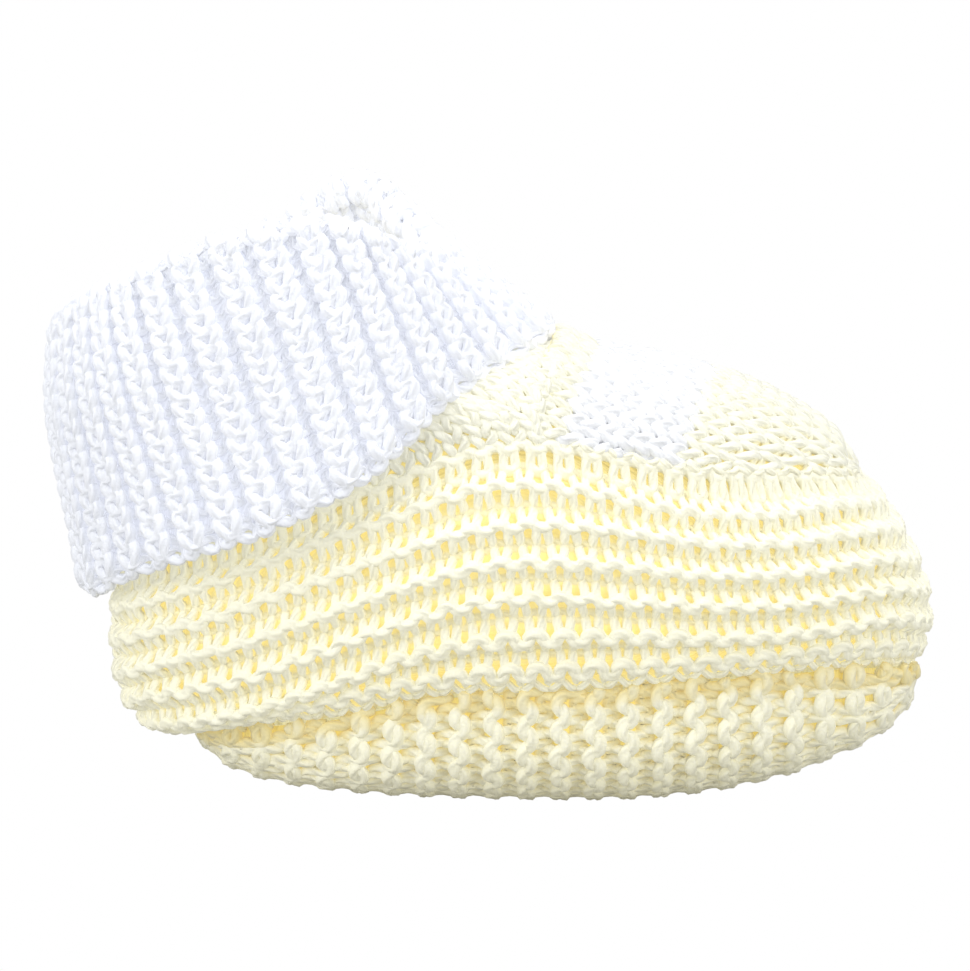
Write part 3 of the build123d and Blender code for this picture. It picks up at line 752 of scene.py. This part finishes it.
# ---------------------------------------------------------------------------
# Side wall: garter stitch round the foot
# ---------------------------------------------------------------------------
THICK_YARN = 0.62            # yarn radius of the wall and the sole
FAT = 1.16                   # bends are fuller than the legs
THIN = 0.92                  # the wall's legs, over the yarn radius
GARTER_GAP = 0.22            # from the innermost yarn's middle to the lining
WALL_STITCHES = 73
WALL_ROWS = 13
WALL_ROW_RIDGES = 6.45 / WALL_ROWS
WALL_LIFT = 0.78
# surface of the wall to the middle of its loops
WALL_DEPTH = WALL_LIFT + THICK_YARN * FAT


def knit_wall():
    parts = [Yarn(), Yarn(), Yarn()]
    for row in range(WALL_ROWS + 1):
        side = garter_side(row)
        height = float(np.interp(row, [0, 3, 5], [0.80, 0.76, 0.65]))
        x, y, z, bend = stitch_row(
            0.15, WALL_STITCHES - 0.15, swing=0.13, height=height, slant=0.05 * side,
            lift=lambda angle: (WALL_LIFT * np.tanh(1.9 * (side * np.cos(angle) + 0.2))
                                / math.tanh(1.9)))
        ridge = np.minimum((row + 0.40 + y) * WALL_ROW_RIDGES, 6.5)
        around = x / WALL_STITCHES
        normals = wall_normal(around, ridge)
        # flatter round the tip of the toe
        toe = ease_out(np.abs(around - 0.5), 0.07, 0.05)
        z = z * (1 - 0.45 * toe) + 0.25 * toe
        # flatter where it meets the instep
        top = 0.5 * float(ease_in(row, 10.5, 1.5))
        z = z * (1 - top) + 0.35 * top
        points = wall_point(around, ridge) + normals * (z - WALL_DEPTH)[:, None]
        radius = THICK_YARN * (1 + 0.03 * RNG.normal()) * (THIN + (FAT - THIN) * bend)
        # painted recess shade: yarn lying deeper in the fabric takes more of it
        parts[min(2, row // 5)].tube(points, normals, radius, phase=random_phase(),
                                     deep=0.5 - 0.5 * z / WALL_LIFT)

    def behind(around, ridge):
        normals = wall_normal(around, ridge)
        return wall_point(around, ridge) - normals * (WALL_DEPTH + GARTER_GAP), normals

    ridges = np.linspace(0.05, 6.35, 17)
    for part, (first, last) in zip(parts, ((0, 6), (6, 11), (11, 16))):
        part.lining(np.linspace(0.002, 0.998, 241), ridges[first:last + 1], behind)
    return [part.build("side_wall_knit_%d" % (i + 1), YELLOW) for i, part in enumerate(parts)]


# ---------------------------------------------------------------------------
# Sole: garter stitch, rows across the foot
# ---------------------------------------------------------------------------
SOLE_ROW = 2.0
SOLE_STITCH = 3.36
SOLE_LIFT = 0.72
SOLE_FIRST_ROW = 1.3         # mm along the centre line from the heel end
LINING_SHARE = np.linspace(-0.985, 0.985, 61)   # of a panel's half width


def sole_relief(x, arc, half):
    """Share of the stitches' full relief, and mm the fabric stands proud of the surface:
    flat in the middle, proud away from the edges and at the toe."""
    flat = 1 - 0.66 * ease_out(np.abs(arc), 20.0, 6.0)
    proud = 0.8 * (1 - ease_in(np.abs(arc) - half, -9.0, 6.0)) + 0.8 * ease_in(x, 38.0, 9.0)
    return flat, proud


def knit_sole():
    parts = [Yarn(), Yarn()]
    # rows are even along the fabric, which turns up at the heel and the toe
    stations = SOLE.stations
    run = path_length(sole_point(stations, 0 * stations))
    rows = int((run[-1] - 2.0) / SOLE_ROW) + 1
    for row in range(rows):
        side = garter_side(row)
        middle = SOLE_FIRST_ROW + SOLE_ROW * row
        stitches = (SOLE.half(np.interp(middle, run, stations)) - 0.2) / SOLE_STITCH
        across, y, z, bend = stitch_row(
            -stitches, stitches, swing=0.12, height=0.80, slant=0.08 * side,
            lift=lambda angle: side * SOLE_LIFT * np.cos(angle))
        x = np.interp(np.clip(middle + y * SOLE_ROW, 0.8, run[-1] - 0.7), run, stations)
        half = SOLE.half(x)
        arc = np.clip(across / stitches, -1.0, 1.0) * (half - 0.05)
        flat, proud = sole_relief(x, arc, half)
        z = z * flat
        normals = SOLE.normal(x, arc)
        sink = z - SOLE_LIFT * flat - THICK_YARN * FAT + proud
        points = SOLE.at(x, arc) + normals * sink[:, None]
        radius = THICK_YARN * (1.0 + (FAT - 0.86) * bend * flat)
        # the yarn rests on the floor, hardly pressed flat
        points[:, 2] = np.maximum(points[:, 2], radius * 0.96)
        # painted shadow: the yarn in the crease under the wall's last ridge takes more of the
        # recess shade
        crease = 0.8 * ease_in(np.abs(arc) - half, -3.2, 1.8)
        parts[0 if row < rows // 2 else 1].tube(
            points, normals, radius, phase=random_phase(),
            deep=np.clip(0.55 - 0.5 * z / SOLE_LIFT + crease, 0, 1))

    def behind(x, share):
        half = SOLE.half(x)
        arc = share * half
        normals = SOLE.normal(x, arc)
        flat, proud = sole_relief(x, arc, half)
        depth = SOLE_LIFT * flat + THICK_YARN * FAT + GARTER_GAP - proud
        points = SOLE.at(x, arc) - normals * depth[:, None]
        points[:, 2] = np.maximum(points[:, 2], 0.85)
        return points, normals

    for part, (start, end) in zip(parts, ((-36.4, 4.7), (4.7, 49.6))):
        part.lining(np.linspace(start, end, 61), LINING_SHARE, behind)
    return [part.build("sole_knit_%d" % (i + 1), SOLE_YELLOW) for i, part in enumerate(parts)]


# ---------------------------------------------------------------------------
# Instep: stocking stitch, rows across, a white stripe and then a yellow toe
# ---------------------------------------------------------------------------
INSTEP_ROW = 2.0
INSTEP_STITCH = 2.9
INSTEP_INSET = 0.4           # rows stop this far from the panel's edges
PLAIN_LIFT = 0.34
PLAIN_GAP = 0.38             # from the middle of the plain stitches to the lining
# (name, first row, end row, yarn radius, materials)
INSTEP_BLOCKS = [("instep_stripe_knit", 0.6, 8, 0.66, FINE_WHITE),
                 ("instep_toe_knit", 8, 16.6, 0.56, FINE_YELLOW)]


def plain_row(first, last):
    """Row of stocking stitch, and how deep its yarn lies, which sets its painted recess shade."""
    x, y, z, _ = stitch_row(first, last, swing=0.24, height=0.72,
                            lift=lambda angle: -PLAIN_LIFT * np.cos(2 * angle))
    return x, y, z, 0.45 - 0.45 * z / PLAIN_LIFT


def instep_row(middle, radius):
    """Points, normals and depth of the instep's row that crosses the crown at middle."""
    stitches = (INSTEP.half(middle) - INSTEP_INSET) / INSTEP_STITCH
    across, y, z, deep = plain_row(-stitches, stitches)
    x = np.clip(middle + y * INSTEP_ROW, INSTEP.stations[0], INSTEP.stations[-1] - 0.2)
    arc = across / stitches * 0.985 * (INSTEP.half(x) - INSTEP_INSET)
    normals = INSTEP.normal(x, arc)
    points = INSTEP.at(x, arc) + normals * (z - PLAIN_LIFT - radius)[:, None]
    return points, normals, deep


def instep_lining(yarn, start, end, count, radius):
    def behind(x, share):
        arc = share * INSTEP.half(x)
        normals = INSTEP.normal(x, arc)
        return INSTEP.at(x, arc) - normals * (PLAIN_LIFT + radius + PLAIN_GAP), normals
    yarn.lining(np.linspace(start, end, count), LINING_SHARE, behind)


def knit_instep():
    blocks = []
    for name, first, end, radius, materials in INSTEP_BLOCKS:
        yarn = Yarn()
        for row in range(math.ceil(first), math.ceil(end)):
            points, normals, deep = instep_row(INSTEP_X0 + 0.35 + INSTEP_ROW * (row + 0.5),
                                               radius)
            yarn.tube(points, normals, radius, phase=random_phase(), deep=deep)
        edge = INSTEP_X0 + 0.2
        instep_lining(yarn, edge + INSTEP_ROW * first, edge + INSTEP_ROW * end, 31, radius)
        blocks.append(yarn.build(name, materials))
    return blocks


# ---------------------------------------------------------------------------
# Ankle band: stocking stitch from the foot up inside the cuff
# ---------------------------------------------------------------------------
ANKLE_STITCHES = 52
ANKLE_ROWS = 11
ANKLE_ROW = 2.04
ANKLE_YARN = 0.58


def ankle_depth(height):
    return PLAIN_LIFT + ANKLE_YARN + 0.3 + 1.2 * smooth01(height * 1.4)


def knit_ankle():
    yarn = Yarn()
    # two rows run across the instep, next to the stripe
    for middle in (INSTEP_X0 - 0.65, INSTEP_X0 + 1.35):
        points, normals, deep = instep_row(middle, ANKLE_YARN)
        yarn.tube(points, normals, ANKLE_YARN, phase=2.0, deep=deep)
    instep_lining(yarn, INSTEP_X0 - 1.6, INSTEP_X0 + 2.4, 9, ANKLE_YARN)

    places = np.linspace(0, 1, 73)
    lengths = path_length(ankle_point(*np.meshgrid(places, np.linspace(0, 1, 25),
                                                   indexing="ij")))[:, -1]
    for row in range(ANKLE_ROWS):
        x, y, z, deep = plain_row(0.15, ANKLE_STITCHES - 0.15)
        around = x / ANKLE_STITCHES
        height = (row + 0.5 + y) * ANKLE_ROW / np.interp(around, places, lengths)
        keep = (height < 0.97) & (height > -0.06)
        height = np.clip(height, -0.05, 1.0)
        normals = ankle_normal(around, height)
        points = ankle_point(around, height) + normals * (z - ankle_depth(height))[:, None]
        yarn.runs(points, normals, keep, ANKLE_YARN, phase=random_phase(), deep=deep)

    def behind(around, height):
        normals = ankle_normal(around, height)
        depth = ankle_depth(height) + PLAIN_GAP
        return ankle_point(around, height) - normals * depth[:, None], normals

    yarn.lining(np.linspace(0.004, 0.996, 145), np.linspace(0.01, 0.99, 15), behind)
    return yarn.build("ankle_band_knit", FINE_YELLOW)


# ---------------------------------------------------------------------------
# Cuff: one-by-one rib, turned down over a soft rolled fold
# ---------------------------------------------------------------------------
CUFF_STITCHES = 68
CUFF_ROWS = 20
CUFF_ROW = 2.15
CUFF_SWING = 0.24
CUFF_HEIGHT = 0.76
CUFF_LIFT = 0.36
CUFF_RIB = 1.25              # the ribs stand this far from the fabric's middle
CUFF_YARN = 0.71
CUFF_DEPTH = CUFF_RIB + CUFF_LIFT * 0.6 + CUFF_YARN
CUFF_SHEAR = 0.07            # slant of the stitches, in rows
RIB_GATHER = 0.15            # stitches shift toward their ribs by this much
FOLD_RADIUS = 2.6            # outer radius of the fold
FOLD_RATE = 1.8              # mm of fabric per radian of the fold
FOLD_LENGTH = math.pi * FOLD_RATE
CUFF_PLACES = np.linspace(0, 1, 181)
CUFF_LENGTHS = path_length(cuff_point(*np.meshgrid(CUFF_PLACES, np.linspace(0, 1, 41),
                                                   indexing="ij")))[:, -1]


def cuff_length(around):
    return np.interp(np.clip(around, 0.0, 1.0), CUFF_PLACES, CUFF_LENGTHS)


def fold_start(around):
    """mm up from the hem at which the fold begins."""
    return cuff_length(around) - 0.92 * FOLD_RADIUS


def cuff_and_fold(around, climb, depth):
    """Point at a depth in the cuff, carried on round the fold, and its normal; climb is mm
    up from the hem."""
    around = np.clip(around, 0.0, 1.0)
    start = fold_start(around)
    height = np.clip(np.minimum(climb, start) / cuff_length(around), -0.06, 1.0)
    normal = cuff_normal(around, height)
    inner = np.clip(height, 0.02, 0.97)
    up = cuff_point(around, inner + .02) - cuff_point(around, inner - .02)
    up = unit(up - normal * np.sum(up * normal, axis=-1, keepdims=True))
    over = np.clip(climb - start, 0, None)
    angle = np.minimum(over / FOLD_RATE, math.pi)
    past = np.clip(over - FOLD_LENGTH, 0, None)
    out = normal * np.cos(angle)[:, None] + up * np.sin(angle)[:, None]
    point = (cuff_point(around, height) - normal * FOLD_RADIUS
             + out * (FOLD_RADIUS - depth)[:, None] - up * past[:, None])
    return point, out


def rib_around(column):
    """Place round the cuff of a column, gathered into ribs."""
    return (column - RIB_GATHER * np.cos(math.pi * column)) / CUFF_STITCHES


def knit_cuff():
    parts = [Yarn(), Yarn(), Yarn()]
    fold = Yarn()
    cast_on_phase = random_phase()
    for row in range(CUFF_ROWS):
        x, y, z, _ = stitch_row(0.1, CUFF_STITCHES - 0.1, swing=CUFF_SWING, height=CUFF_HEIGHT,
                                lift=rib_lift(CUFF_LIFT, CUFF_RIB))
        around = rib_around(x)
        shear = CUFF_SHEAR * np.sin(2 * math.pi * (x - 0.5)) * np.sign(0.5 - around)
        climb = (row + 0.45 + y + shear) * CUFF_ROW
        # painted recess shade: the sunken stitches take more of it
        deep = 0.36 - 0.46 * z / CUFF_RIB
        # the ribs stretch open over the fold, so the rim is full and even
        start = fold_start(around)
        z = (z + (CUFF_RIB - z) * 0.55 * ease_in(climb - start, -3.0, 5.0)
             + 0.35 * ease_in(climb - start, -1.0, 3.0))
        points, normals = cuff_and_fold(around, climb, CUFF_DEPTH - z)
        # the sunken stitches are thinner
        sunken = smooth01(-np.cos(math.pi * (x - 0.5)) * 1.5)
        radius = CUFF_YARN * (1 + 0.03 * RNG.normal()) * (1 - 0.3 * sunken)
        phase = random_phase()
        parts[min(2, row // 7)].runs(points, normals, climb <= start + 0.2, radius,
                                     phase=phase, deep=deep)
        in_fold = (climb > start - 0.2) & (climb < start + FOLD_LENGTH + 0.6)
        fold.runs(points, normals, in_fold, radius, phase=phase)

    # cast-on edge along the hem
    x = np.linspace(0.1, CUFF_STITCHES - 0.1, CUFF_STITCHES * 10)
    points, normals = cuff_and_fold(
        rib_around(x), 0.35 + 0.35 * np.cos(2 * math.pi * x),
        CUFF_DEPTH - 0.8 * np.cos(math.pi * (x - 0.5)) * CUFF_RIB)
    parts[0].tube(points, normals, 0.52, phase=cast_on_phase)

    def behind(around, height):
        normals = cuff_normal(around, height)
        return cuff_point(around, height) - normals * (CUFF_DEPTH + 0.32), normals

    def behind_fold(around, share):
        climb = fold_start(around) + np.where(share < 0, share * 3.0, share * FOLD_LENGTH)
        return cuff_and_fold(around, climb, CUFF_DEPTH + 0.40 + 0 * around)

    places = np.linspace(0.003, 0.997, 217)
    for part, (low, high) in zip(parts, ((0.03, 0.36), (0.36, 0.66), (0.66, 0.975))):
        part.lining(places, np.linspace(low, high, 9), behind, thickness=0.35)
    fold.lining(places, np.linspace(-0.5, 1.0, 10), behind_fold, thickness=0.3)
    pieces = [part.build("cuff_knit_%d" % (i + 1), WHITE) for i, part in enumerate(parts)]
    return pieces, fold.build("cuff_fold_knit", WHITE)


LEG_ROWS = 8
LEG_ROW = 0.068              # share of the cuff's height


def knit_leg():
    """Ribbed leg layer inside the cuff, facing inward and knitted down from the fold."""
    yarn = Yarn()
    for row in range(LEG_ROWS):
        x, y, z, _ = stitch_row(0.1, CUFF_STITCHES - 0.1, swing=CUFF_SWING, height=CUFF_HEIGHT,
                                lift=rib_lift(CUFF_LIFT, rib=0.6))
        around = rib_around(x)
        height = 0.90 - (row + 0.5 - y) * LEG_ROW
        normals = cuff_normal(around, np.clip(height, 0.05, 0.95))
        depth = 2 * FOLD_RADIUS - CUFF_DEPTH + 0.55 + 0.9 * ease_out(height, 0.85, 0.3)
        points = cuff_point(around, height) - normals * (depth + z)[:, None]
        yarn.tube(points, -normals, 0.64, phase=random_phase())
    return yarn.build("leg_rib_knit", WHITE)


# ---------------------------------------------------------------------------
# Sewing yarns, which weave from side to side over the seams
# ---------------------------------------------------------------------------
SEAM_YARN = 0.42
SEAM_PITCH = 3.36            # one stitch of the two level seams
SOLE_SEAM_LENGTH = 245.0


def sew(yarn, points, normals, radius=SEAM_YARN):
    yarn.tube(points, normals, radius, groove=0.12, phase=1.0)


def sew_sole():
    """Seam round the foot of the wall, over a thick core."""
    yarn = Yarn()
    around = np.linspace(0.006, 0.994, int(SOLE_SEAM_LENGTH / SEAM_PITCH * 12))
    angle = 2 * math.pi * around * SOLE_SEAM_LENGTH / SEAM_PITCH
    normals = wall_normal(around, 0.3 + 0 * around)
    points = wall_point(around, 0.03 + 0.42 * np.sin(angle) / 5.0)
    sew(yarn, points - normals * (1.05 - 0.22 * np.cos(2 * angle))[:, None], normals)
    around = np.linspace(0.004, 0.996, 700)
    normals = wall_normal(around, 0.3 + 0 * around)
    # the thick core takes material 1, painted glow and shade in the seam
    yarn.tube(wall_point(around, 0.05 + 0 * around) - normals * 2.1, normals, 0.95,
              groove=0.06, material=1)
    return yarn.build("sole_seam_yarn", YELLOW)


def sew_instep():
    """Seam along the wall's top edge, down the near side, round the toe and back."""
    yarn = Yarn()
    x = np.concatenate([np.linspace(8.4, 42.6, 150), np.full(40, 42.9),
                        np.linspace(42.6, 8.4, 150)])
    side = np.concatenate([np.full(150, -1.0), np.linspace(-1, 1, 40), np.full(150, 1.0)])
    half, edge_z = wall_edge(x, -1)
    line = even(np.stack([x, side * (half + 0.1), edge_z + 0.15], 1), 520)
    angle = 2 * math.pi * path_length(line) / SEAM_PITCH
    up = np.array([0, 0, 1.0])
    out = unit(unit(line - np.array([12.0, 0, 40.0])) * np.array([1, 1, 0]))
    points = (line + up * (0.35 * np.sin(angle))[:, None]
              - out * (0.75 - 0.2 * np.cos(2 * angle))[:, None])
    sew(yarn, points, unit(out + up), radius=0.40)
    return yarn.build("instep_seam_yarn", YELLOW)


def sew_back(name, surface, normal, heights, pitch, depth, wave, swing, materials):
    """Seam up the back centre of a surface; wave is its in and out, swing side to side."""
    yarn = Yarn()
    angle = 2 * math.pi * heights / pitch
    normals = normal(0 * heights, heights)
    points = (surface(0 * heights, heights)
              - normals * (depth - wave * np.cos(2 * angle))[:, None])
    points[:, 1] = swing * np.sin(angle)
    sew(yarn, points, normals)
    return yarn.build(name, materials)


wall = knit_wall()
sole = knit_sole()
instep = knit_instep()
ankle = knit_ankle()
cuff, fold = knit_cuff()
leg = knit_leg()
seams = {
    "sole_seam": sew_sole(),
    "instep_seam": sew_instep(),
    "heel_seam": sew_back("heel_seam_yarn", wall_point, wall_normal,
                          np.linspace(0.15, 6.25, 150), pitch=0.98, depth=0.95, wave=0.25,
                          swing=0.55, materials=YELLOW),
    "leg_seam": sew_back("leg_seam_yarn", cuff_point, cuff_normal,
                         np.linspace(0.40, 0.90, 110), pitch=0.076, depth=4.6, wave=0.25,
                         swing=0.5, materials=WHITE),
    "cuff_seam": sew_back("cuff_seam_yarn", cuff_point, cuff_normal,
                          np.linspace(0.02, 0.97, 160), pitch=0.076, depth=1.35, wave=0.3,
                          swing=0.6, materials=WHITE),
}


def stand_for(pieces, cad_node):
    for piece in pieces:
        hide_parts(cad_node)


for piece in wall + sole + instep + [seams[key] for key in
                                     ("sole_seam", "instep_seam", "heel_seam")]:
    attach(piece, "foot")
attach(fold, "cuff_roll")
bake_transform(ankle)
for piece in (leg, seams["leg_seam"]):
    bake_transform(piece)
for piece in cuff + [seams["cuff_seam"]]:
    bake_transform(piece)

stand_for(wall, "side_wall")
stand_for(sole, "sole_panel")
stand_for(instep[:1], "instep_stripe")
stand_for(instep[1:], "instep_toe")
stand_for([ankle], "ankle_band")
stand_for(cuff, "cuff_turn_down")
stand_for([fold], "cuff_fold")
stand_for([leg], "leg_rib")
for key, piece in seams.items():
    stand_for([piece], key)


# ---------------------------------------------------------------------------
# Stage, light and camera, in metres
# ---------------------------------------------------------------------------
FLOOR_HALF = 3.0
FLOOR_DROP = 0.0004          # the floor lies this far below the sole
LIGHT_TARGET = (0, 0, 0.03)
# (name, place, size, watts)
LIGHTS = [("key_top", (0.10, -0.10, 0.75), 0.6, 2.7),
          ("key_front_right", (0.55, -0.75, 0.42), 0.5, 1.9),
          ("fill_left", (-0.86, -0.42, 0.36), 0.6, 3.3)]
CAMERA_ELEVATION = math.radians(10.0)
CAMERA_TARGET = Vector((-0.0018, -0.004, 0.0369))
VIEW_WIDTH = 0.1164          # width seen at the target


def mix_for_camera(tree, shader, seen, output):
    """Light the scene with shader, but show the camera seen."""
    path = add_node(tree, "LightPath")
    mix = add_node(tree, "MixShader", {0: path.outputs["Is Camera Ray"], 1: shader, 2: seen})
    tree.links.new(mix.outputs[0], tree.nodes[output].inputs[0])


def aim(thing, target):
    direction = Vector(target) - thing.location
    thing.rotation_euler = direction.to_track_quat("-Z", "Y").to_euler()


def lay_floor():
    """Grey floor that the camera sees as pure white."""
    mesh = bpy.data.meshes.new("floor")
    half = FLOOR_HALF
    mesh.from_pydata([(-half, -half, 0), (half, -half, 0), (half, half, 0), (-half, half, 0)],
                     [], [(0, 1, 2, 3)])
    floor = link_object("floor", mesh)
    floor.location.z = -FLOOR_DROP
    material = bpy.data.materials.new("floor_white")
    material.use_nodes = True
    tree = material.node_tree
    surface = tree.nodes["Principled BSDF"]
    surface.inputs["Base Color"].default_value = (0.42, 0.42, 0.41, 1)
    surface.inputs["Roughness"].default_value = 0.9
    surface.inputs["Specular IOR Level"].default_value = 0.1
    white = add_node(tree, "Emission", {"Color": (1, 1, 1, 1), "Strength": 1.0})
    mix_for_camera(tree, surface, white, "Material Output")
    mesh.materials.append(material)


def light_world():
    """Soft cool light all round, seen by the camera as pure white."""
    world = bpy.data.worlds.new("studio")
    bpy.context.scene.world = world
    world.use_nodes = True
    tree = world.node_tree
    soft = tree.nodes["Background"]
    soft.inputs["Color"].default_value = (0.97, 0.985, 1.0, 1)
    soft.inputs["Strength"].default_value = 0.63
    white = add_node(tree, "Background", {"Color": (1, 1, 1, 1)})
    mix_for_camera(tree, soft, white, "World Output")


def add_light(name, place, size, energy):
    light = bpy.data.lights.new(name, "AREA")
    light.shape = "RECTANGLE"
    light.size = size
    light.size_y = size
    light.energy = energy
    lamp = link_object(name, light)
    lamp.location = place
    aim(lamp, LIGHT_TARGET)


def add_camera():
    camera = bpy.data.cameras.new("camera")
    camera.lens = 250
    camera.sensor_width = 36
    camera.clip_end = 20
    holder = link_object("camera", camera)
    distance = VIEW_WIDTH * camera.lens / camera.sensor_width
    back = Vector((0, -math.cos(CAMERA_ELEVATION), math.sin(CAMERA_ELEVATION)))
    holder.location = CAMERA_TARGET + back * distance
    aim(holder, CAMERA_TARGET)
    bpy.context.scene.camera = holder


lay_floor()
light_world()
for light in LIGHTS:
    add_light(*light)
add_camera()
bpy.context.scene.view_settings.view_transform = "Standard"
bpy.context.scene.view_settings.look = "None"
